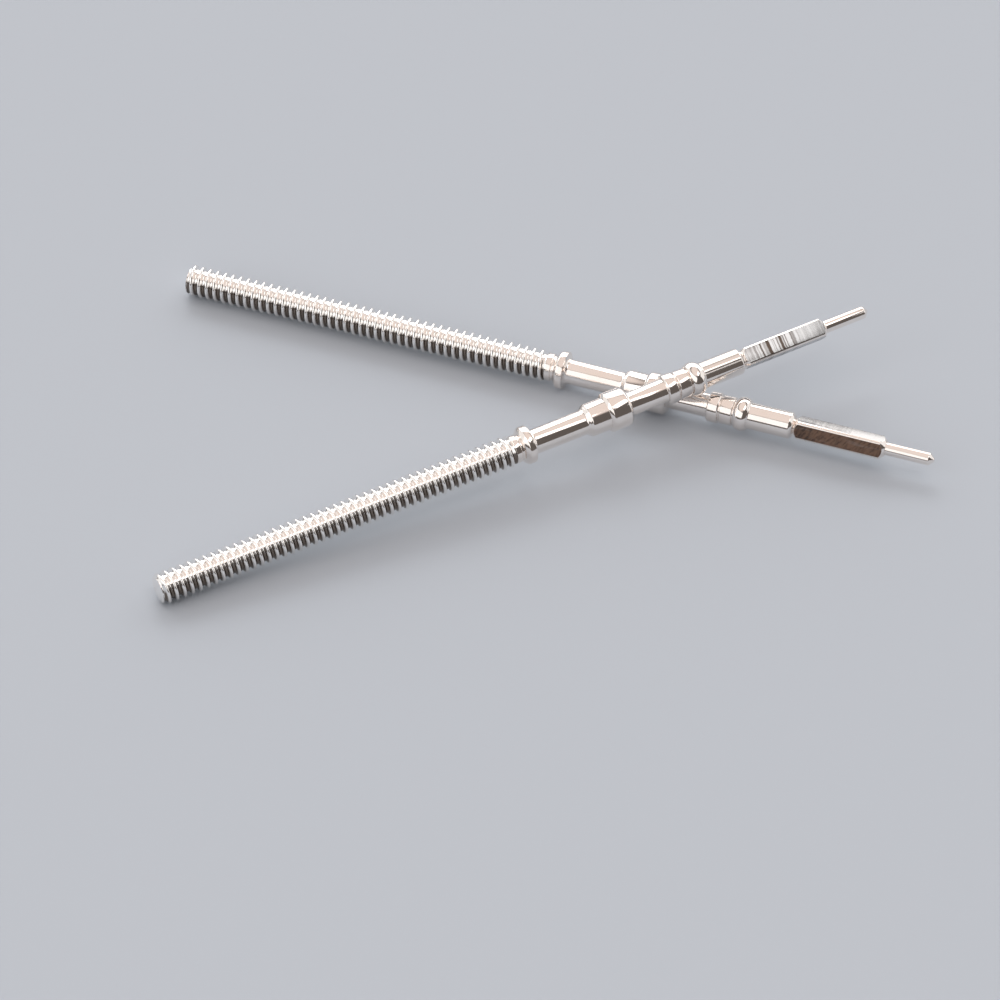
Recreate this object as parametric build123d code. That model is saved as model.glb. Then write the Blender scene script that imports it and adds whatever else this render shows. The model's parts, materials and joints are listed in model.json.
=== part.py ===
from build123d import *
import os
from math import asin, atan2, ceil, cos, degrees, hypot, radians, sin, tan

# Two identical long winding stems of a wristwatch, laid crossed, the upper one resting on the lower.
# Each stem is one bar of turned steel. Lengths are in millimetres and angles in degrees.
# A stem is made along X with its crown end at zero, and is then laid in its place.

# Crown thread, right-handed, with its chamfered crown end
thread_diameter = 0.87
thread_pitch = 0.225
thread_depth = 0.105
thread_crest_flat = 0.045
thread_flank_angle = 30
thread_length = 10.44
thread_chamfer = 0.08
turns_per_cut = 2

# Plain land behind the thread, a little thinner than its crests, and the fine groove behind it
thread_end_chamfer = 0.05
land_length = 0.16
land_diameter = 0.76
land_chamfer = 0.02
land_groove_width = 0.08
land_groove_diameter = 0.68

# Collar that stops the crown, and the neck behind it, which flares into its neighbours at both ends
collar_length = 0.29
collar_diameter = 1.04
collar_chamfer = 0.11
neck_length = 1.71
neck_diameter = 0.68
neck_flare = 0.07

# Step, and the bearing shoulder that runs in the main plate
step_length = 0.57
step_diameter = 0.90
step_chamfer = 0.05
shoulder_length = 0.66
shoulder_diameter = 1.085
shoulder_chamfer = 0.08

# Groove for the setting lever
lever_groove_length = 1.14
lever_groove_diameter = 0.66

# Ring, hub and rounded flange, parted by two fine grooves
ring_length = 0.32
ring_diameter = 0.84
ring_chamfer = 0.03
fine_groove_width = 0.04
fine_groove_diameter = 0.68
hub_length = 0.35
hub_diameter = 0.79
hub_chamfer = 0.02
flange_length = 0.38
flange_diameter = 0.94
flange_crown = 0.07

# Round seat of the winding pinion
seat_length = 1.26
seat_diameter = 0.73
seat_flare = 0.03
seat_chamfer = 0.09

# Square of the sliding pinion, milled from a round bar that leaves its corners blunt
square_length = 2.58
square_across_flats = 0.515
square_bar_diameter = 0.67
square_chamfer = 0.14

# Pilot at the inner end
pilot_length = 1.34
pilot_diameter = 0.35
pilot_chamfer = 0.13

# How the two stems lie: headings are turned from the X axis, rolls are turned about each stem's own axis
upper_heading = 28.9
lower_heading = -18.8
upper_roll = 35
lower_roll = -17
stack_clearance = 0.02
lower_crossing_offset = 0.09

# How far a cutter reaches past what it cuts
cut_overrun = 0.05

thread_radius = thread_diameter / 2

# Each section's length, radius, chamfer at its start and at its end, and crown. A flare is a chamfer below zero.
sections = [
    (thread_length, thread_radius, thread_chamfer, thread_end_chamfer, 0),
    (land_length, land_diameter / 2, 0, land_chamfer, 0),
    (land_groove_width, land_groove_diameter / 2, 0, 0, 0),
    (collar_length, collar_diameter / 2, collar_chamfer, 0, 0),
    (neck_length, neck_diameter / 2, -neck_flare, -neck_flare, 0),
    (step_length, step_diameter / 2, step_chamfer, 0, 0),
    (shoulder_length, shoulder_diameter / 2, shoulder_chamfer, shoulder_chamfer, 0),
    (lever_groove_length, lever_groove_diameter / 2, 0, 0, 0),
    (ring_length, ring_diameter / 2, ring_chamfer, ring_chamfer, 0),
    (fine_groove_width, fine_groove_diameter / 2, 0, 0, 0),
    (hub_length, hub_diameter / 2, hub_chamfer, hub_chamfer, 0),
    (fine_groove_width, fine_groove_diameter / 2, 0, 0, 0),
    (flange_length, flange_diameter / 2, 0, 0, flange_crown),
    (seat_length, seat_diameter / 2, -seat_flare, seat_chamfer, 0),
    (square_length, square_bar_diameter / 2, square_chamfer, square_chamfer, 0),
    (pilot_length, pilot_diameter / 2, 0, pilot_chamfer, 0),
]

# Places along the axis that other features and the resting pose follow
collar_start = thread_length + land_length + land_groove_width
shoulder_start = collar_start + collar_length + neck_length + step_length
lever_groove_start = shoulder_start + shoulder_length
ring_start = lever_groove_start + lever_groove_length
flange_start = ring_start + ring_length + hub_length + 2 * fine_groove_width
square_start = flange_start + flange_length + seat_length


def turned_blank():
    """The bar as it leaves the lathe: each section's half outline in turn, spun about the axis."""
    edges = []
    place = 0
    last = (0, 0)
    for length, radius, start_chamfer, end_chamfer, crown in sections:
        end = place + length
        if crown:
            middle = (place + length / 2, radius)
            edges.append(Line(last, (place, radius - crown)))
            edges.append(ThreePointArc((place, radius - crown), middle, (end, radius - crown)))
            last = (end, radius - crown)
        else:
            corners = [
                (place, radius - start_chamfer),
                (place + abs(start_chamfer), radius),
                (end - abs(end_chamfer), radius),
                (end, radius - end_chamfer),
            ]
            for corner in corners:
                if corner != last:
                    edges.append(Line(last, corner))
                    last = corner
        place = end
    edges.append(Line(last, (place, 0)))
    edges.append(Line((place, 0), (0, 0)))
    return revolve(Face(Wire(edges)), Axis.X)


def groove_cutter(turns, rise_angle=0):
    """Takes some turns of the crown thread's groove, which climbs out of the steel if it has a rise angle."""
    slope = tan(radians(thread_flank_angle))
    root_half_width = (thread_pitch - thread_crest_flat) / 2 - thread_depth * slope
    outer_half_width = root_half_width + (thread_depth + cut_overrun) * slope
    root_radius = thread_radius - thread_depth
    outer_radius = thread_radius + cut_overrun
    corners = [
        (root_radius, -root_half_width),
        (root_radius, root_half_width),
        (outer_radius, outer_half_width),
        (outer_radius, -outer_half_width),
    ]
    lines = [
        Helix(thread_pitch, turns * thread_pitch, radius, center=(0, 0, rise), cone_angle=rise_angle)
        for radius, rise in corners
    ]
    faces = [
        Face.make_surface_from_curves(line, neighbour)
        for line, neighbour in zip(lines, lines[1:] + lines[:1])
    ]
    for position in (0, 1):
        faces.append(Face(Wire.make_polygon([line @ position for line in lines])))
    return Rot(0, 90, 0) * Solid(Shell(faces))


def cut_thread(piece):
    """Cuts the crown thread from beyond the crown end, and lets its last turn climb out before the land."""
    cuts = ceil(thread_length / (turns_per_cut * thread_pitch))
    cutter = groove_cutter(turns_per_cut)
    last_turn = thread_length - thread_pitch
    for cut in range(cuts, 0, -1):
        piece -= Pos(last_turn - cut * turns_per_cut * thread_pitch, 0, 0) * cutter
    climb = degrees(atan2(thread_depth + cut_overrun, thread_pitch))
    return piece - Pos(last_turn, 0, 0) * groove_cutter(1, climb)


def square_cutter():
    """What milling takes off the bar, to leave four flats between blunt corners."""
    bar = Cylinder(square_bar_diameter / 2 + cut_overrun, square_length, rotation=(0, 90, 0))
    square = Box(square_length, square_across_flats, square_across_flats)
    return Pos(square_start + square_length / 2, 0, 0) * (bar - square)


def stem():
    """One whole stem along X, crown end at zero."""
    return cut_thread(turned_blank() - square_cutter())


def axis_height(place, tilt):
    """Height of a resting stem's axis over the ground, at a place along it."""
    return thread_radius * cos(tilt) + (place - thread_chamfer) * sin(tilt)


def lay(piece, crossing, height, heading, tilt, roll):
    """Puts a stem's crossing place over the origin, its inner end pointing to the heading and tilted up."""
    turned = Rot(0, 0, heading) * Rot(0, -degrees(tilt), 0) * Rot(roll, 0, 0)
    return Pos(0, 0, height) * turned * Pos(-crossing, 0, 0) * piece


# The lower stem rests on its first crest and on the edge of its bearing shoulder.
lower_crossing = lever_groove_start + lever_groove_length / 2 + lower_crossing_offset
lower_tilt = atan2((shoulder_diameter - thread_diameter) / 2, shoulder_start + shoulder_chamfer - thread_chamfer)
lower_height = axis_height(lower_crossing, lower_tilt)

# The upper stem rests on its first crest, and its flange lies over the lower stem's lever groove.
upper_crossing = flange_start + flange_length / 2
upper_height = lower_height + (lever_groove_diameter + flange_diameter) / 2 + stack_clearance
upper_reach = upper_crossing - thread_chamfer
upper_tilt = asin(upper_height / hypot(thread_radius, upper_reach)) - atan2(thread_radius, upper_reach)

piece = stem()
lower = lay(piece, lower_crossing, lower_height, lower_heading, lower_tilt, lower_roll)
upper = lay(piece, upper_crossing, upper_height, upper_heading, upper_tilt, upper_roll)

# The origin is under the middle of the pair, on the ground.
box = Compound([lower, upper]).bounding_box()
ground = Pos(-box.center().X, -box.center().Y, -box.min.Z)

os.makedirs("parts", exist_ok=True)
export_step(ground * lower, "parts/lower_stem.step")
export_step(ground * upper, "parts/upper_stem.step")
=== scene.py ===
"""A pair of long winding stems of a wristwatch, turned, threaded and milled, laid crossed on a stage."""

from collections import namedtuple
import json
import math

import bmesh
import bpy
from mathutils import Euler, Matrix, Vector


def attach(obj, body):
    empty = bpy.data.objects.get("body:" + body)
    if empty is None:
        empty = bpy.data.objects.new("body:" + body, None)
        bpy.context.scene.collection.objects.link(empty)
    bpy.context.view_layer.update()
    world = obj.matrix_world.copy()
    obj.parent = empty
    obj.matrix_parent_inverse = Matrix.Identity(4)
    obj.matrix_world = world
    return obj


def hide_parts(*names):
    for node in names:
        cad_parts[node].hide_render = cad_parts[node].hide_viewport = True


bl_info = {
    "name": "Crossed Watch Stems",
    "version": (1, 0, 0),
    "blender": (4, 5, 0),
    "location": "View3D > Sidebar > Watch Stems",
    "description": "Models a pair of turned watch stems in polished steel, on a pale floor with soft light",
    "category": "Add Mesh",
}

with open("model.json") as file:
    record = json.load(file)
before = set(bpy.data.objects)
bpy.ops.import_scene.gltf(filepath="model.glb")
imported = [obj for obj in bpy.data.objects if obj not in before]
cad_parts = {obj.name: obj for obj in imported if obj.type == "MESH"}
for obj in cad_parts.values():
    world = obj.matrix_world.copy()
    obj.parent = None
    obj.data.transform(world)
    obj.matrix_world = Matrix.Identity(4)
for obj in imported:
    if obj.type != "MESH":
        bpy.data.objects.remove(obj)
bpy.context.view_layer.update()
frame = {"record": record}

MM = 0.001
AXIS = Vector((1, 0, 0))
MOUNTS = {mount["name"]: mount for mount in frame["record"]["mounts"]}
CROWN_END_CHAMFER = 0.08 * MM


def mount_size(name, key):
    """A size of one of the mounts, in metres."""
    return MOUNTS[name]["dims"][key] * MM


class StemSizes(bpy.types.PropertyGroup):
    """Sizes of one stem, from its crown end to its inner tip."""

    segments: bpy.props.IntProperty(
        name="Segments", description="Faces round the stem", default=84, min=24)
    edge_rounding: bpy.props.FloatProperty(
        name="Edge rounding", description="Radius left on turned edges by polishing",
        default=0.02 * MM, unit='LENGTH')
    inner_rounding: bpy.props.FloatProperty(
        name="Inner rounding", description="Radius that the turning tool leaves in inner corners",
        default=0.04 * MM, unit='LENGTH')
    fine_rounding: bpy.props.FloatProperty(
        name="Fine rounding", description="Radius left on the narrowest edges",
        default=0.005 * MM, unit='LENGTH')

    thread_diameter: bpy.props.FloatProperty(
        name="Thread diameter", description="Over the crests of the crown thread",
        default=2 * mount_size("upper_crown_thread", "r_mm"), unit='LENGTH')
    thread_pitch: bpy.props.FloatProperty(
        name="Thread pitch", description="From crest to crest",
        default=0.225 * MM, unit='LENGTH')
    thread_depth: bpy.props.FloatProperty(
        name="Thread depth", description="From crest to root",
        default=0.105 * MM, unit='LENGTH')
    thread_crest: bpy.props.FloatProperty(
        name="Crest width", description="Width of the flat on a crest",
        default=0.045 * MM, unit='LENGTH')
    thread_flank: bpy.props.FloatProperty(
        name="Flank angle", description="Between a flank and a plane square to the axis",
        default=math.radians(30), subtype='ANGLE')
    thread_chamfer: bpy.props.FloatProperty(
        name="Crown end chamfer", description="Chamfer on the crown end",
        default=CROWN_END_CHAMFER, unit='LENGTH')
    thread_length: bpy.props.FloatProperty(
        name="Thread length", description="From the crown end to the end of the last turn",
        default=mount_size("upper_crown_thread", "length_mm") + CROWN_END_CHAMFER, unit='LENGTH')
    run_out: bpy.props.FloatProperty(
        name="Run-out", description="Length over which the last turn's groove climbs out to the land",
        default=0.12 * MM, unit='LENGTH')

    across_flats: bpy.props.FloatProperty(
        name="Across flats", description="Size of the square over two flats",
        default=2 * mount_size("upper_square", "r_mm"), unit='LENGTH')
    bar_diameter: bpy.props.FloatProperty(
        name="Square bar diameter", description="The round bar that the square is milled from",
        default=0.67 * MM, unit='LENGTH')
    bar_chamfer: bpy.props.FloatProperty(
        name="Square chamfer", description="Chamfer turned on both ends of the square",
        default=0.14 * MM, unit='LENGTH')
    corner_radius: bpy.props.FloatProperty(
        name="Corner radius", description="Rounded corners between the flats",
        default=0.08 * MM, unit='LENGTH')
    bar_rounding: bpy.props.FloatProperty(
        name="Square edge rounding", description="Radius left on the edges of the square's ends",
        default=0.01 * MM, unit='LENGTH')

    flange_crown: bpy.props.FloatProperty(
        name="Flange crown", description="How far the flange's edge bulges",
        default=0.07 * MM, unit='LENGTH')


class SteelLook(bpy.types.PropertyGroup):
    """Colours and finish of the polished steel."""

    steel: bpy.props.FloatVectorProperty(
        name="Steel", description="Polished lands",
        subtype='COLOR', size=3, min=0, max=1, default=(0.93, 0.875, 0.835))
    straw: bpy.props.FloatVectorProperty(
        name="Straw tint", description="Faint warm stain of handling",
        subtype='COLOR', size=3, min=0, max=1, default=(0.88, 0.78, 0.70))
    burnished: bpy.props.FloatVectorProperty(
        name="Thread steel", description="Brighter, burnished steel of the crown thread",
        subtype='COLOR', size=3, min=0, max=1, default=(0.98, 0.96, 0.94))
    # Painted shade: a dark colour in the thread's grooves, fullest on their underside, standing in for shade
    # and a dark reflection
    painted_shade: bpy.props.FloatVectorProperty(
        name="Groove film", description="Dark oil that has run to the underside of the thread's grooves",
        subtype='COLOR', size=3, min=0, max=1, default=(0.20, 0.165, 0.14))
    milled: bpy.props.FloatVectorProperty(
        name="Milled flats", description="Duller, unpolished flats of the square",
        subtype='COLOR', size=3, min=0, max=1, default=(0.43, 0.435, 0.44))
    # Painted reflection: a dark brown colour with specks on one flat of the lower stem's square, standing in
    # for a dark reflection
    oil: bpy.props.FloatVectorProperty(
        name="Oil", description="Brown oil that dried on one flat of the lower stem's square",
        subtype='COLOR', size=3, min=0, max=1, default=(0.19, 0.108, 0.07))
    darkest_painted_reflection: bpy.props.FloatVectorProperty(
        name="Thick oil", description="Darkest specks of the dried oil",
        subtype='COLOR', size=3, min=0, max=1, default=(0.05, 0.028, 0.018))
    cutter_mark: bpy.props.FloatVectorProperty(
        name="Cutter marks", description="Dark side of the milling cutter's marks",
        subtype='COLOR', size=3, min=0, max=1, default=(0.07, 0.055, 0.045))
    roughness: bpy.props.FloatProperty(
        name="Roughness", description="Of the polished lands", default=0.09, min=0, max=1)


class StageLook(bpy.types.PropertyGroup):
    """Floor, room light and the brightness of the lamps."""

    floor: bpy.props.FloatVectorProperty(
        name="Floor", description="Pale floor",
        subtype='COLOR', size=3, min=0, max=1, default=(0.48, 0.515, 0.565))
    room: bpy.props.FloatVectorProperty(
        name="Room tint", description="Faint warm tint of the room's walls and ceiling",
        subtype='COLOR', size=3, min=0, max=1, default=(1, 0.88, 0.82))
    ceiling: bpy.props.FloatProperty(
        name="Ceiling brightness", description="Plain light of the room from above", default=0.88, min=0)
    walls: bpy.props.FloatProperty(
        name="Wall brightness", description="Plain light of the room from its sides", default=0.12, min=0)
    key: bpy.props.FloatProperty(
        name="Key brightness", description="Soft lamp behind the stems that casts their shadows",
        default=4, min=0)
    box: bpy.props.FloatProperty(
        name="Box brightness", description="Wide soft box behind the stems", default=1.6, min=0)
    strip: bpy.props.FloatProperty(
        name="Strip brightness", description="Narrow soft lamp high at the front right",
        default=1.6, min=0)
    panel: bpy.props.FloatProperty(
        name="Panel brightness", description="Reflector panel at the front left", default=1.05, min=0)
    side: bpy.props.FloatProperty(
        name="Side brightness", description="Reflector panels at the left and the right",
        default=0.85, min=0)


# A land of the lathe work: its length, its diameter, then its chamfer towards the crown end and towards the
# tip, in millimetres. A flare is a chamfer below zero.
Land = namedtuple("Land", "length diameter outer_chamfer inner_chamfer")

PLAIN_LAND = Land(0.16, 0.76, 0, 0.02)
LAND_GROOVE = Land(0.08, 0.68, 0, 0)
COLLAR = Land(0.29, 1.04, 0.11, 0)
NECK = Land(1.71, 0.68, -0.07, -0.07)
STEP = Land(0.57, 0.90, 0.05, 0)
SHOULDER = Land(0.66, 1.085, 0.08, 0.08)
LEVER_GROOVE = Land(1.14, 0.66, 0, 0)
RING = Land(0.32, 0.84, 0.03, 0.03)
FINE_GROOVE = Land(0.04, 0.68, 0, 0)
HUB = Land(0.35, 0.79, 0.02, 0.02)
FLANGE = Land(0.38, 0.94, 0, 0)
SEAT = Land(1.26, 0.73, -0.03, 0.09)

# The pilot is modelled as the end of a rod that runs back through the square, which is modelled apart
SQUARE_LENGTH = 2.58
PILOT_LENGTH = 1.34
INNER_ROD = Land(SQUARE_LENGTH + PILOT_LENGTH, 0.35, 0, 0.13)

# The lands in their order behind the thread
LANDS = (
    PLAIN_LAND, LAND_GROOVE, COLLAR, NECK, STEP, SHOULDER, LEVER_GROOVE, RING, FINE_GROOVE, HUB,
    FINE_GROOVE, FLANGE, SEAT, INNER_ROD)

# Chamfer on the last crest of the thread, where the plain land begins
THREAD_END_CHAMFER = 0.05

# Turns of the thread that are made beyond its crown end and beyond its other end, and cut off again
LEADING_TURNS = 2
TRAILING_TURNS = 1

# Segments in a rounded edge, an inner corner, a corner of the square and the flange's edge
EDGE_SEGMENTS = 2
INNER_SEGMENTS = 4
SQUARE_SEGMENTS = 8
FLANGE_SEGMENTS = 8

# The lines beside a corner of the lathe work have to be this many roundings long to take that rounding
ROOM_FOR_EDGE = 3
ROOM_FOR_INNER = 2

# Edges of the square that turn by more than the first are rounded, and edges of a stem that turn by less
# than the second are shaded smooth
SHARP_ANGLE = math.radians(20)
SMOOTH_ANGLE = math.radians(30)

# How each stem is turned about its own axis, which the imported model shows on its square
ROLLS = {"upper": math.radians(35), "lower": math.radians(-17)}

# The modelling is done with a millimetre as the unit, and a finished stem is then brought to its real size.
# Corners nearer than the joining distance are one, solids that are joined reach into each other by the
# overlap, and a sliver keeps two faces from lying in one plane.
JOIN_DISTANCE = 2e-5
CUT_DISTANCE = JOIN_DISTANCE / 10
OVERLAP = 0.05
SLIVER = OVERLAP / 10


def only(obj):
    """Selects one object and makes it active."""
    bpy.ops.object.select_all(action='DESELECT')
    obj.select_set(True)
    bpy.context.view_layer.objects.active = obj


def draw_outline(name, points):
    """A line of points (place along the axis, radius), extruded from one vertex and left in edit mode."""
    bpy.ops.object.select_all(action='DESELECT')
    bpy.ops.mesh.primitive_plane_add(size=1, location=(0, 0, 0))
    obj = bpy.context.object
    obj.name = name
    bpy.ops.object.mode_set(mode='EDIT')
    bpy.ops.mesh.select_all(action='SELECT')
    bpy.ops.mesh.merge(type='CENTER')
    place, radius = points[0]
    bpy.ops.transform.translate(value=(place, 0, radius))
    for next_place, next_radius in points[1:]:
        step = (next_place - place, 0, next_radius - radius)
        bpy.ops.mesh.extrude_region_move(TRANSFORM_OT_translate={"value": step})
        place, radius = next_place, next_radius
    return obj


def round_corners(obj, corners, radius, segments):
    """Rounds the given corners of an outline that is being edited."""
    mesh = bmesh.from_edit_mesh(obj.data)
    for vertex in mesh.verts:
        vertex.select = any(
            abs(vertex.co.x - place) < JOIN_DISTANCE and abs(vertex.co.z - height) < JOIN_DISTANCE
            for place, height in corners)
    mesh.select_flush_mode()
    bmesh.update_edit_mesh(obj.data)
    bpy.ops.mesh.bevel(offset=radius, segments=segments, affect='VERTICES')


def close_up():
    """Merges seams and poles, and turns all faces outwards, on the mesh that is being edited."""
    bpy.ops.mesh.select_all(action='SELECT')
    bpy.ops.mesh.remove_doubles(threshold=JOIN_DISTANCE)
    bpy.ops.mesh.select_all(action='SELECT')
    bpy.ops.mesh.normals_make_consistent(inside=False)
    bpy.ops.object.mode_set(mode='OBJECT')


def spin_outline(segments):
    """Spins the outline that is being edited about the axis into a closed solid."""
    bpy.ops.mesh.select_all(action='SELECT')
    bpy.ops.mesh.spin(steps=segments, angle=2 * math.pi, center=(0, 0, 0), axis=AXIS)
    close_up()


def join_solids(obj, other, operation):
    """Adds another solid, or keeps only what both cover, and removes that other solid."""
    only(obj)
    bpy.ops.object.modifier_add(type='BOOLEAN')
    modifier = obj.modifiers[-1]
    modifier.operation = operation
    modifier.solver = 'EXACT'
    modifier.object = other
    bpy.ops.object.modifier_apply(modifier=modifier.name)
    bpy.data.objects.remove(other)


def outline_of(lands, start):
    """Corners of a row of lands that begins at a place, with the place where it ends."""
    corners = []
    place = start
    for land in lands:
        radius = land.diameter / 2
        end = place + land.length
        for corner in (
            (place, radius - land.outer_chamfer),
            (place + abs(land.outer_chamfer), radius),
            (end - abs(land.inner_chamfer), radius),
            (end, radius - land.inner_chamfer),
        ):
            if corner not in corners:
                corners.append(corner)
        place = end
    return corners, place


def flange_edge(start, crown):
    """Points on the bulging edge of the flange."""
    half = FLANGE.length / 2
    curve = (half * half + crown * crown) / (2 * crown)
    sink = FLANGE.diameter / 2 - curve
    points = []
    for index in range(FLANGE_SEGMENTS + 1):
        across = -half + FLANGE.length * index / FLANGE_SEGMENTS
        points.append((start + half + across, sink + math.sqrt(curve * curve - across * across)))
    return points


def square_start(sizes):
    """Place along the axis where the square begins, in millimetres."""
    return sizes.thread_length / MM + sum(land.length for land in LANDS[:LANDS.index(INNER_ROD)])


def screwed_thread(sizes):
    """One pitch of the thread's outline, screwed along the axis and cut square at both ends."""
    pitch = sizes.thread_pitch / MM
    crest = sizes.thread_crest / MM
    depth = sizes.thread_depth / MM
    crest_radius = sizes.thread_diameter / 2 / MM
    root_radius = crest_radius - depth
    flank = depth * math.tan(sizes.thread_flank)
    half_root = (pitch - crest) / 2 - flank
    start = -LEADING_TURNS * pitch
    end = sizes.thread_length / MM + OVERLAP
    corners = [
        (start + half_root, root_radius),
        (start + half_root + flank, crest_radius),
        (start + half_root + flank + crest, crest_radius),
        (start + pitch - half_root, root_radius),
    ]
    rod = draw_outline("thread", [(start, root_radius)] + corners + [(start + pitch, root_radius)])
    round_corners(rod, corners, sizes.edge_rounding / MM, EDGE_SEGMENTS)
    bpy.ops.object.mode_set(mode='OBJECT')
    only(rod)
    bpy.ops.object.modifier_add(type='SCREW')
    screw = rod.modifiers[-1]
    screw.axis = 'X'
    screw.angle = 2 * math.pi
    screw.screw_offset = pitch
    screw.iterations = math.ceil(end / pitch) + LEADING_TURNS + TRAILING_TURNS
    screw.steps = screw.render_steps = sizes.segments
    bpy.ops.object.modifier_apply(modifier=screw.name)
    bpy.ops.object.mode_set(mode='EDIT')
    bpy.ops.mesh.select_all(action='SELECT')
    bpy.ops.mesh.remove_doubles(threshold=JOIN_DISTANCE)
    for place, outwards in ((0, -AXIS), (end, AXIS)):
        bpy.ops.mesh.select_all(action='SELECT')
        bpy.ops.mesh.bisect(
            plane_co=(place, 0, 0), plane_no=outwards,
            use_fill=True, clear_outer=True, threshold=CUT_DISTANCE)
    close_up()
    return rod


def thread_rod(sizes):
    """The crown thread, chamfered at its crown end and on its last crest."""
    rod = screwed_thread(sizes)
    chamfer = sizes.thread_chamfer / MM
    crest_radius = sizes.thread_diameter / 2 / MM
    end = sizes.thread_length / MM
    # The chamfer's cone rises by 45 degrees until it is clear of the crests
    run = 3 * chamfer
    wide = crest_radius + 2 * chamfer
    within_land = PLAIN_LAND.diameter / 2 - OVERLAP / 2
    reach = end + 2 * OVERLAP
    envelope = draw_outline("envelope", [
        (-SLIVER, 0),
        (-SLIVER, crest_radius - chamfer - SLIVER),
        (run, wide),
        (end - run, wide),
        (end, crest_radius - THREAD_END_CHAMFER),
        (end + OVERLAP / 2, within_land),
        (reach, within_land),
        (reach, 0),
    ])
    spin_outline(sizes.segments)
    join_solids(rod, envelope, 'INTERSECT')
    return rod


def turned_core(sizes):
    """The lathe work behind the thread, from the last turn's run-out to the tip, with polished edges."""
    thread_end = sizes.thread_length / MM
    root_radius = (sizes.thread_diameter / 2 - sizes.thread_depth) / MM
    start = thread_end - sizes.run_out / MM
    flange_index = LANDS.index(FLANGE)
    before, flange_start = outline_of(LANDS[:flange_index], thread_end)
    flange = flange_edge(flange_start, sizes.flange_crown / MM)
    after, tip = outline_of(LANDS[flange_index + 1:], flange_start + FLANGE.length)
    outline = [(start, 0), (start, root_radius - SLIVER)] + before + flange + after + [(tip, 0)]
    core = draw_outline("core", outline)

    fine, plain, inner = [], [], []
    for last, corner, following in zip(outline, outline[1:], outline[2:]):
        if corner in flange[1:-1]:
            continue
        shortest = min(math.dist(last, corner), math.dist(corner, following))
        arriving = Vector(corner) - Vector(last)
        leaving = Vector(following) - Vector(corner)
        if shortest < ROOM_FOR_EDGE * sizes.edge_rounding / MM:
            fine.append(corner)
        elif arriving.cross(leaving) > 0 and shortest > ROOM_FOR_INNER * sizes.inner_rounding / MM:
            inner.append(corner)
        else:
            plain.append(corner)
    round_corners(core, inner, sizes.inner_rounding / MM, INNER_SEGMENTS)
    round_corners(core, plain, sizes.edge_rounding / MM, EDGE_SEGMENTS)
    round_corners(core, fine, sizes.fine_rounding / MM, EDGE_SEGMENTS)
    spin_outline(sizes.segments)
    return core


def cutting_box(start, end, across, corner_radius):
    """A square box with rounded corners, longer than the bar, so that it shapes only the bar's sides."""
    length = end - start + 4 * OVERLAP
    bpy.ops.object.select_all(action='DESELECT')
    bpy.ops.mesh.primitive_cube_add(
        size=1, location=((start + end) / 2, 0, 0), scale=(length, across, across))
    box = bpy.context.object
    bpy.ops.object.transform_apply(location=True, rotation=True, scale=True)
    bpy.ops.object.mode_set(mode='EDIT')
    mesh = bmesh.from_edit_mesh(box.data)
    for edge in mesh.edges:
        edge.select = abs(edge.verts[0].co.x - edge.verts[1].co.x) > across
    mesh.select_flush_mode()
    bmesh.update_edit_mesh(box.data)
    bpy.ops.mesh.bevel(offset=corner_radius, segments=SQUARE_SEGMENTS, affect='EDGES')
    bpy.ops.object.mode_set(mode='OBJECT')
    return box


def square_bar(sizes):
    """The round bar of the square, with four flats milled on it and polished corners between them."""
    start = square_start(sizes)
    end = start + SQUARE_LENGTH
    radius = sizes.bar_diameter / 2 / MM
    chamfer = sizes.bar_chamfer / MM
    bar = draw_outline("square", [
        (start - OVERLAP, 0),
        (start - OVERLAP, radius - chamfer - OVERLAP),
        (start + chamfer, radius),
        (end - chamfer, radius),
        (end, radius - chamfer),
        (end, 0),
    ])
    spin_outline(sizes.segments)
    box = cutting_box(start, end, sizes.across_flats / MM, sizes.corner_radius / MM)
    join_solids(bar, box, 'INTERSECT')
    bpy.ops.object.modifier_add(type='BEVEL')
    bevel = bar.modifiers[-1]
    bevel.width = sizes.bar_rounding / MM
    bevel.segments = EDGE_SEGMENTS
    bevel.limit_method = 'ANGLE'
    bevel.angle_limit = SHARP_ANGLE
    bpy.ops.object.modifier_apply(modifier=bevel.name)
    return bar


def lay_stem(obj, which, sizes):
    """Brings a stem to its real size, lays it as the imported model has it, and gives its place and turn."""
    thread = MOUNTS[which + "_crown_thread"]
    inwards = -Vector(thread["axis"])
    middle = thread["dims"]["length_mm"] * MM / 2 + sizes.thread_chamfer
    heading = math.atan2(inwards.y, inwards.x)
    tilt = math.asin(inwards.z)
    obj.location = Vector(thread["pos_m"]) - inwards * middle
    obj.rotation_euler = Euler((ROLLS[which], -tilt, heading), 'XYZ')
    obj.scale = (MM, MM, MM)
    place = obj.location.copy(), obj.rotation_euler.copy()
    only(obj)
    bpy.ops.object.transform_apply(location=True, rotation=True, scale=True)
    return place


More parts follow.
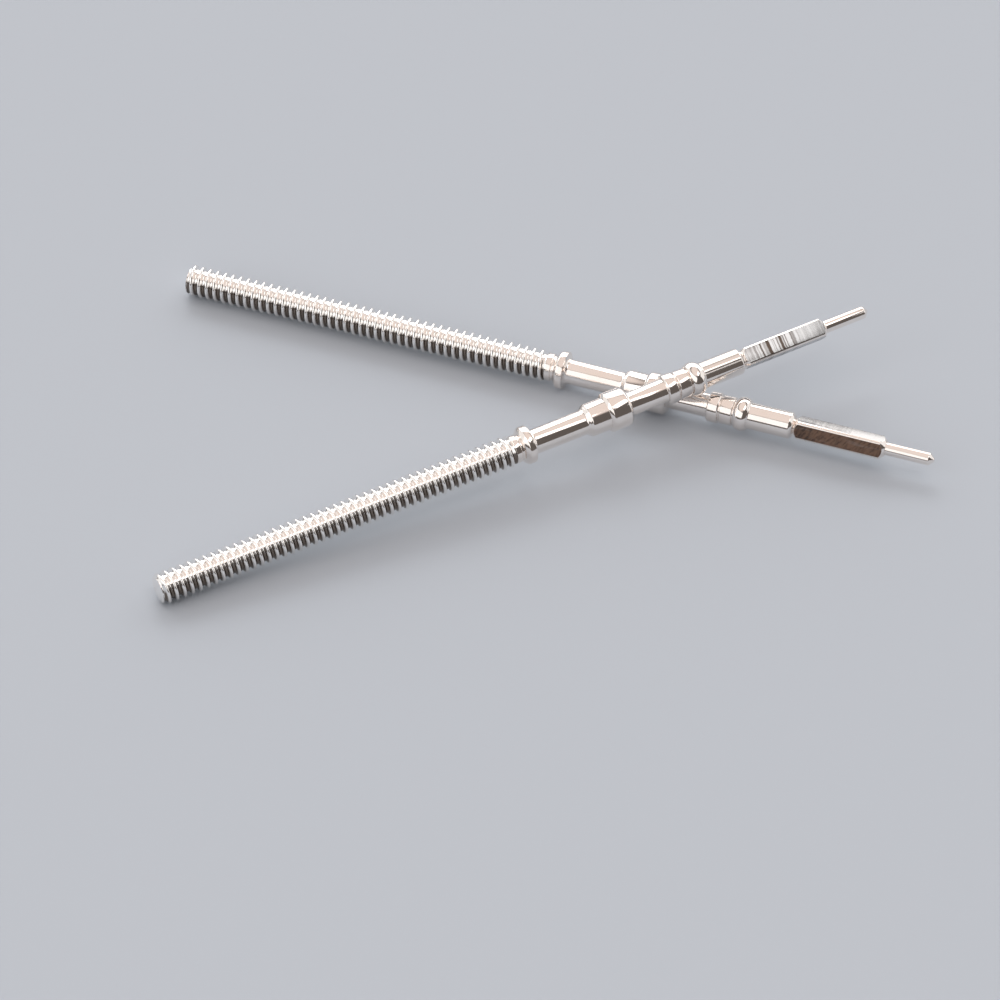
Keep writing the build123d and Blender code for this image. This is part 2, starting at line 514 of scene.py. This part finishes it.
class Value:
    """A number, a vector or a colour in a shader. Python's operators on a number add Math nodes."""

    def __init__(self, shader, socket):
        self.shader = shader
        self.socket = socket

    def __add__(self, other):
        return self.shader.math('ADD', self, other)

    def __sub__(self, other):
        return self.shader.math('SUBTRACT', self, other)

    def __rsub__(self, other):
        return self.shader.math('SUBTRACT', other, self)

    def __mul__(self, other):
        return self.shader.math('MULTIPLY', self, other)

    def __truediv__(self, other):
        return self.shader.math('DIVIDE', self, other)

    def __rtruediv__(self, other):
        return self.shader.math('DIVIDE', other, self)

    def __abs__(self):
        return self.shader.math('ABSOLUTE', self)

    __radd__ = __add__
    __rmul__ = __mul__

    def clamp(self):
        """The value, kept between 0 and 1."""
        return self.shader.node('ShaderNodeClamp', {}, [self])

    def above(self, level, fade):
        """0 up to a level, then rising to 1 over a fade."""
        return ((self - level) / fade).clamp()

    def below(self, level, fade):
        """0 from a level on, and rising to 1 over a fade below it."""
        return ((level - self) / fade).clamp()

    def band(self, low, high, fade):
        """1 between two levels and 0 outside them, with a fade across each."""
        return self.above(low - fade / 2, fade) * self.below(high + fade / 2, fade)


# A Mix node has sockets for each kind of value. These are its factor, its two colours and their mixture.
MIX_FACTOR = 0
MIX_FIRST = 6
MIX_SECOND = 7
MIX_RESULT = 2


class Shader:
    """The nodes of a material or of the room."""

    def __init__(self, tree):
        self.tree = tree
        self.tree.nodes.clear()

    def node(self, kind, settings, values, output=0):
        """Adds a node, sets it up, links or sets its sockets, and gives one of its outputs, if any."""
        node = self.tree.nodes.new(kind)
        for key, setting in settings.items():
            setattr(node, key, setting)
        pairs = values.items() if isinstance(values, dict) else enumerate(values)
        for key, value in pairs:
            if isinstance(value, Value):
                self.tree.links.new(value.socket, node.inputs[key])
            else:
                node.inputs[key].default_value = value
        return Value(self, node.outputs[output]) if node.outputs else None

    def math(self, operation, *values):
        """A Math node."""
        return self.node('ShaderNodeMath', {"operation": operation}, values)

    def mix(self, factor, first, second):
        """A colour between two colours."""
        return self.node(
            'ShaderNodeMix', {"data_type": 'RGBA'},
            {MIX_FACTOR: factor, MIX_FIRST: first, MIX_SECOND: second}, MIX_RESULT)

    def part(self, vector, axis):
        """One of the three numbers of a vector."""
        return self.node('ShaderNodeSeparateXYZ', {}, [vector], axis)

    def stem_place(self, location, turn):
        """The place on a stem that was laid with a turn, in millimetres along the stem's own axes."""
        laid = self.node('ShaderNodeTexCoord', {}, [], "Object")
        return self.node('ShaderNodeMapping', {"vector_type": 'TEXTURE'}, {
            "Vector": laid, "Location": location, "Rotation": turn, "Scale": (MM, MM, MM)})

    def noise(self, place, texture):
        """A noise texture over a surface."""
        return self.node('ShaderNodeTexNoise', {}, {"Vector": place, **texture._asdict()})

    def line_noise(self, place, texture):
        """A noise texture along one number, which gives lines across it."""
        return self.node(
            'ShaderNodeTexNoise', {"noise_dimensions": '1D'}, {"W": place, **texture._asdict()})


def new_material(name):
    """An empty material with the means to fill it."""
    material = bpy.data.materials.new(name)
    material.use_nodes = True
    return material, Shader(material.node_tree)


def colour(values):
    """A colour socket's four numbers."""
    return (*values, 1)


# How the two stems' finish differs: the place in the noise where each starts, the strength of the cutter's
# marks on its flats, how much painted dark reflection one flat takes, and how far its flats are polished
Finish = namedtuple("Finish", "noise_start marks oil polish")
FINISHES = {"lower": Finish(3.1, 0.15, 1, 0.4), "upper": Finish(8.7, 1, 0, 0)}

# The noise textures of the steel, with their fields named as the Noise node's sockets are. Some are squeezed
# by a factor along the stem and across it. The painted reflection's specks are stretched instead, and slant
# by an angle.
Texture = namedtuple("Texture", "Scale Detail Roughness")
TOOL_LINES = Texture(90, 4, 0.7)
STREAKS = Texture(1, 3, 0.6)
STREAK_SQUEEZE = (0.8, 9, 9)
CLOUDS = Texture(1.7, 4, 0.55)
GRAIN = Texture(60, 3, 0.7)
RIPPLES = Texture(1.6, 2, 0.5)
RIPPLE_SQUEEZE = (6.5, 1.1, 1.1)
CUTTER_PASSES = Texture(8, 1, 0.6)
CUTTER_WANDER = 0.05
PAINTED_REFLECTION_SPECKS = Texture(8, 3, 0.65)
PAINTED_REFLECTION_STRETCH = (0.5, 1, 1.8)
PAINTED_REFLECTION_SLANT = math.radians(35)
NOISE_MIDDLE = 0.5

# From which level of its noise each finish shows, and over what fade
STAINED = (0.45, 1 / 3)
LINED = (0.45, 0.4)
MARKED = (0.45, 0.125)
SPECKED = (0.44, 0.2)

# Soft edges of the thread, the square and its flats, and how far under its plane a flat begins, in mm
EDGE_FADE = 0.02
FLAT_MARGIN = 0.003
FLAT_FADE = 0.002

# The painted shade lies in the grooves up to a height over their roots, from a little behind the crown end.
# It is full on the underside and fades out towards a share of the radius over the axis, where a trace is
# left.
PAINTED_SHADE_START = 0.03
PAINTED_SHADE_HEIGHT = 0.075
PAINTED_SHADE_FADE = 0.03
UNDERSIDE = (0.62, 0.25)
PAINTED_SHADE_ON_TOP = 0.04

# The cutter's marks are deep between two places on the square and shallow elsewhere
DEEP_MARKS = (0.4, 1.6)
DEEP_MARKS_FADE = 0.4
SHALLOW_MARKS = 0.15

# The painted dark reflection covers its flat but for faint streaks, has specks, and is darker at the
# square's outer end. Its last value is how much of the metal's look it hides.
PAINTED_REFLECTION_COVER = 0.75
PAINTED_REFLECTION_STREAKS = 0.6
SPECK_STRENGTH = 0.8
DARK_END_LENGTH = 0.45
DARK_END_FADE = 0.5
DARK_END_STRENGTH = 0.5
PAINTED_REFLECTION_OVER_METAL = 0.8

# How much of the straw tint the stains and the tool lines take, how bright the thread is, and how much the
# stains dull it
STAIN_TINT = 0.4
LINE_TINT = 0.35
THREAD_BRIGHTNESS = 0.95
THREAD_STAIN = 0.15

# What each finish adds to the roughness
PAINTED_SHADE_ROUGHNESS = 0.12
GRAIN_ROUGHNESS = 0.08
STAIN_ROUGHNESS = 0.05
FLAT_ROUGHNESS = 0.12
PAINTED_REFLECTION_ROUGHNESS = 0.2

# How high each texture stands in the relief, and the relief's unit
LINE_HEIGHT = 0.5
RIPPLE_HEIGHT = 4
PASS_HEIGHT = 2
STREAK_HEIGHT = 0.3
GRAIN_HEIGHT = 0.15
RELIEF = 0.0006 * MM


def polished_steel(which, place, sizes, look):
    """Bright turned steel: tool lines on the lands, painted shade in the thread's grooves, marks on the
    flats and a painted dark reflection on one flat.
    """
    location, turn = place
    finish = FINISHES[which]
    material, shader = new_material(which + " stem polished steel")
    along = shader.stem_place(location, turn)
    x, y, z = (shader.part(along, axis) for axis in "XYZ")
    radius = shader.math('SQRT', y * y + z * z)
    # Height over the axis as a share of the radius: 1 on top of a stem and -1 underneath
    unrolled = shader.stem_place(location, (0, turn.y, turn.z))
    height_share = shader.part(unrolled, "Z") / radius

    thread_end = sizes.thread_length / MM
    root = (sizes.thread_diameter / 2 - sizes.thread_depth) / MM
    square = square_start(sizes)
    half = sizes.across_flats / 2 / MM
    on_thread = x.band(-OVERLAP, thread_end, EDGE_FADE)
    on_square = x.band(square, square + SQUARE_LENGTH, EDGE_FADE)
    on_flat = on_square * shader.math('MAXIMUM', abs(y), abs(z)).above(half - FLAT_MARGIN, FLAT_FADE)
    # The flat with the painted dark reflection faces along the stem's own -Y
    on_painted_flat = on_square * y.below(FLAT_MARGIN - half, FLAT_FADE)

    lines = shader.line_noise(x + finish.noise_start, TOOL_LINES)
    drawn_out = shader.node('ShaderNodeMapping', {}, {
        "Vector": along, "Location": (finish.noise_start, 0, 0), "Scale": STREAK_SQUEEZE})
    streaks = shader.noise(drawn_out, STREAKS)
    grain = shader.noise(along, GRAIN)
    rippled = shader.node('ShaderNodeMapping', {}, {"Vector": along, "Scale": RIPPLE_SQUEEZE})
    ripples = shader.noise(rippled, RIPPLES)
    wander = (streaks - NOISE_MIDDLE) * CUTTER_WANDER
    passes = shader.line_noise(x + wander + finish.noise_start, CUTTER_PASSES)
    deep = x.band(square + DEEP_MARKS[0], square + DEEP_MARKS[1], DEEP_MARKS_FADE)
    marks = passes.above(*MARKED) * (SHALLOW_MARKS + (1 - SHALLOW_MARKS) * deep) * finish.marks

    stain = shader.noise(along, CLOUDS).above(*STAINED)
    # Painted shade in the thread's grooves: a dark colour, full on the underside and faint on top
    in_grooves = x.band(PAINTED_SHADE_START, thread_end, EDGE_FADE) * radius.below(root + PAINTED_SHADE_HEIGHT, PAINTED_SHADE_FADE)
    painted_shade = in_grooves * (PAINTED_SHADE_ON_TOP + (1 - PAINTED_SHADE_ON_TOP) * height_share.below(*UNDERSIDE))
    base = shader.mix(stain * STAIN_TINT, colour(look.steel), colour(look.straw))
    base = shader.mix(lines.above(*LINED) * LINE_TINT, base, colour(look.straw))
    base = shader.mix(on_thread * (THREAD_BRIGHTNESS - stain * THREAD_STAIN), base, colour(look.burnished))
    base = shader.mix(painted_shade, base, colour(look.painted_shade))

    # Painted dark reflection on one flat of the lower stem's square, drawn with specks, streaks and a darker
    # end
    slanted = shader.node('ShaderNodeMapping', {"vector_type": 'TEXTURE'}, {
        "Vector": along, "Rotation": (0, PAINTED_REFLECTION_SLANT, 0), "Scale": PAINTED_REFLECTION_STRETCH})
    specks = shader.noise(slanted, PAINTED_REFLECTION_SPECKS).above(*SPECKED)
    dark_end = x.band(square, square + DARK_END_LENGTH, DARK_END_FADE)
    reflection_darkness = (specks * SPECK_STRENGTH + dark_end * DARK_END_STRENGTH).clamp()
    oil = shader.mix(reflection_darkness, colour(look.oil), colour(look.darkest_painted_reflection))
    painted_reflection_mask = (on_painted_flat * finish.oil * (PAINTED_REFLECTION_COVER + streaks * PAINTED_REFLECTION_STREAKS)).clamp()
    flat_steel = Vector(look.milled).lerp(Vector(look.steel), finish.polish)
    flats = shader.mix(marks, shader.mix(painted_reflection_mask, colour(flat_steel), oil), colour(look.cutter_mark))

    roughness = (
        look.roughness + painted_shade * PAINTED_SHADE_ROUGHNESS + (grain - NOISE_MIDDLE) * GRAIN_ROUGHNESS
        + stain * STAIN_ROUGHNESS + on_flat * FLAT_ROUGHNESS + painted_reflection_mask * PAINTED_REFLECTION_ROUGHNESS)
    relief = (
        lines * LINE_HEIGHT * (1 - on_flat) + (ripples * RIPPLE_HEIGHT + passes * PASS_HEIGHT) * on_flat
        + streaks * STREAK_HEIGHT + grain * GRAIN_HEIGHT)
    bump = shader.node('ShaderNodeBump', {}, {"Strength": 1, "Distance": RELIEF, "Height": relief})
    steel = shader.node('ShaderNodeBsdfPrincipled', {}, {
        "Base Color": shader.mix(on_flat, base, flats),
        "Metallic": 1 - painted_reflection_mask * PAINTED_REFLECTION_OVER_METAL,
        "Roughness": roughness.clamp(),
        "Normal": bump,
    })
    shader.node('ShaderNodeOutputMaterial', {}, {"Surface": steel})
    return material


class STEMS_OT_add_pair(bpy.types.Operator):
    """Models one stem, copies it, and lays the two crossed"""

    bl_idname = "stems.add_pair"
    bl_label = "Pair of Watch Stems"
    bl_options = {'REGISTER', 'UNDO'}

    def execute(self, context):
        sizes = context.scene.stem_sizes
        look = context.scene.steel_look
        stem = thread_rod(sizes)
        join_solids(stem, turned_core(sizes), 'UNION')
        join_solids(stem, square_bar(sizes), 'UNION')
        bpy.ops.object.mode_set(mode='EDIT')
        bpy.ops.mesh.select_all(action='SELECT')
        bpy.ops.mesh.delete_loose()
        close_up()
        for which in FINISHES:
            only(stem)
            bpy.ops.object.duplicate(linked=False)
            piece = context.object
            piece.name = which + "_watch_stem"
            place = lay_stem(piece, which, sizes)
            bpy.ops.object.shade_smooth_by_angle(angle=SMOOTH_ANGLE)
            piece.data.materials.clear()
            piece.data.materials.append(polished_steel(which, place, sizes, look))
            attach(piece, which)
            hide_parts(which + "_stem")
        bpy.data.objects.remove(stem)
        return {'FINISHED'}


# The view: the ground point at the picture's centre, and the camera's place and lens
VIEW_TARGET = Vector((-1.277 * MM, -2.005 * MM, 0))
VIEW_ELEVATION = math.radians(42.7)
VIEW_ROLL = math.radians(1.34)
VIEW_DISTANCE = 166.4 * MM
PICTURE_WIDTH = 1000
FOCAL_LENGTH_PIXELS = 6258
SENSOR_WIDTH = 36
CLIP_START = 0.005
CLIP_END = 20

# The soft lamps, as the stems see them: azimuth from the X axis, elevation, width and height, in degrees
LAMP_DISTANCE = 3000 * MM
KEY_LAMP = (100, 38, 18, 18)
BOX_LAMP = (92, 29, 92, 50)
STRIP_LAMP = (-22, 62, 30, 16)
PANEL_LAMP = (-124, 33, 70, 42)
SIDE_LAMPS = ((175, 26, 76, 46), (15, 25, 58, 44))

# The floor reaches past the lamps, and is matt
FLOOR_SIZE = 16
FLOOR_ROUGHNESS = 0.9
FLOOR_SPECULAR = 0.1

# Sines of the elevations between which the room's walls turn into its ceiling
WALL_TOP = 0.76
CEILING_EDGE = 0.88


def pale_floor(look):
    """The floor, which takes the stems' shadows."""
    bpy.ops.object.select_all(action='DESELECT')
    bpy.ops.mesh.primitive_plane_add(size=FLOOR_SIZE, location=(0, 0, 0))
    floor = bpy.context.object
    floor.name = "floor"
    material, shader = new_material("pale floor")
    surface = shader.node('ShaderNodeBsdfPrincipled', {}, {
        "Base Color": colour(look.floor),
        "Roughness": FLOOR_ROUGHNESS,
        "Specular IOR Level": FLOOR_SPECULAR,
    })
    shader.node('ShaderNodeOutputMaterial', {}, {"Surface": surface})
    floor.data.materials.append(material)


def soft_lamp(name, where, brightness):
    """A rectangular soft lamp that faces the stems and looks as bright as asked."""
    azimuth, elevation, width, height = (math.radians(angle) for angle in where)
    away = Vector((
        math.cos(elevation) * math.cos(azimuth),
        math.cos(elevation) * math.sin(azimuth),
        math.sin(elevation),
    ))
    bpy.ops.object.select_all(action='DESELECT')
    bpy.ops.object.light_add(type='AREA', location=away * LAMP_DISTANCE)
    lamp = bpy.context.object
    lamp.name = name
    lamp.rotation_euler = away.to_track_quat('Z', 'Y').to_euler()
    lamp.data.shape = 'RECTANGLE'
    lamp.data.size = 2 * LAMP_DISTANCE * math.tan(width / 2)
    lamp.data.size_y = 2 * LAMP_DISTANCE * math.tan(height / 2)
    lamp.data.energy = brightness * math.pi * lamp.data.size * lamp.data.size_y


def room_light(look):
    """A plain room: an even bright ceiling over darker walls."""
    world = bpy.data.worlds.new("room")
    world.use_nodes = True
    shader = Shader(world.node_tree)
    direction = shader.node('ShaderNodeTexCoord', {}, [], "Generated")
    brightness = shader.node('ShaderNodeMapRange', {"interpolation_type": 'SMOOTHSTEP'}, {
        "Value": shader.part(direction, "Z"), "From Min": WALL_TOP, "From Max": CEILING_EDGE,
        "To Min": look.walls, "To Max": look.ceiling})
    light = shader.node('ShaderNodeBackground', {}, {"Color": colour(look.room), "Strength": brightness})
    shader.node('ShaderNodeOutputWorld', {}, {"Surface": light})
    return world


def view_camera():
    """The camera, which looks down on the stems from the front."""
    away = Vector((0, -math.cos(VIEW_ELEVATION), math.sin(VIEW_ELEVATION)))
    bpy.ops.object.camera_add(location=VIEW_TARGET + away * VIEW_DISTANCE)
    camera = bpy.context.object
    camera.rotation_mode = 'QUATERNION'
    upright = Euler((math.pi / 2 - VIEW_ELEVATION, 0, 0)).to_quaternion()
    camera.rotation_quaternion = upright @ Euler((0, 0, VIEW_ROLL)).to_quaternion()
    camera.data.sensor_width = SENSOR_WIDTH
    camera.data.lens = SENSOR_WIDTH * FOCAL_LENGTH_PIXELS / PICTURE_WIDTH
    camera.data.clip_start = CLIP_START
    camera.data.clip_end = CLIP_END
    camera.data.dof.use_dof = False
    return camera


class STEMS_OT_add_stage(bpy.types.Operator):
    """Adds the pale floor, the soft lamps and the camera"""

    bl_idname = "stems.add_stage"
    bl_label = "Stage for the Watch Stems"
    bl_options = {'REGISTER', 'UNDO'}

    def execute(self, context):
        look = context.scene.stage_look
        pale_floor(look)
        soft_lamp("key lamp", KEY_LAMP, look.key)
        soft_lamp("soft box", BOX_LAMP, look.box)
        soft_lamp("strip lamp", STRIP_LAMP, look.strip)
        soft_lamp("panel lamp", PANEL_LAMP, look.panel)
        for place in SIDE_LAMPS:
            soft_lamp("side lamp", place, look.side)
        context.scene.world = room_light(look)
        context.scene.view_settings.view_transform = 'Standard'
        context.scene.camera = view_camera()
        return {'FINISHED'}


class STEMS_PT_panel(bpy.types.Panel):
    """Lists the pieces and the stage"""

    bl_idname = "STEMS_PT_panel"
    bl_label = "Watch Stems"
    bl_space_type = 'VIEW_3D'
    bl_region_type = 'UI'
    bl_category = "Watch Stems"

    def draw(self, context):
        layout = self.layout
        layout.operator(STEMS_OT_add_stage.bl_idname)
        layout.operator(STEMS_OT_add_pair.bl_idname)
        for group in (context.scene.stem_sizes, context.scene.steel_look, context.scene.stage_look):
            box = layout.box()
            for key in group.__annotations__:
                box.prop(group, key)


CLASSES = (StemSizes, SteelLook, StageLook, STEMS_OT_add_pair, STEMS_OT_add_stage, STEMS_PT_panel)


def register():
    for cls in CLASSES:
        bpy.utils.register_class(cls)
    bpy.types.Scene.stem_sizes = bpy.props.PointerProperty(type=StemSizes)
    bpy.types.Scene.steel_look = bpy.props.PointerProperty(type=SteelLook)
    bpy.types.Scene.stage_look = bpy.props.PointerProperty(type=StageLook)


def unregister():
    del bpy.types.Scene.stage_look
    del bpy.types.Scene.steel_look
    del bpy.types.Scene.stem_sizes
    for cls in reversed(CLASSES):
        bpy.utils.unregister_class(cls)


def main():
    register()
    bpy.ops.stems.add_stage()
    bpy.ops.stems.add_pair()


if __name__ == "__main__":
    main()
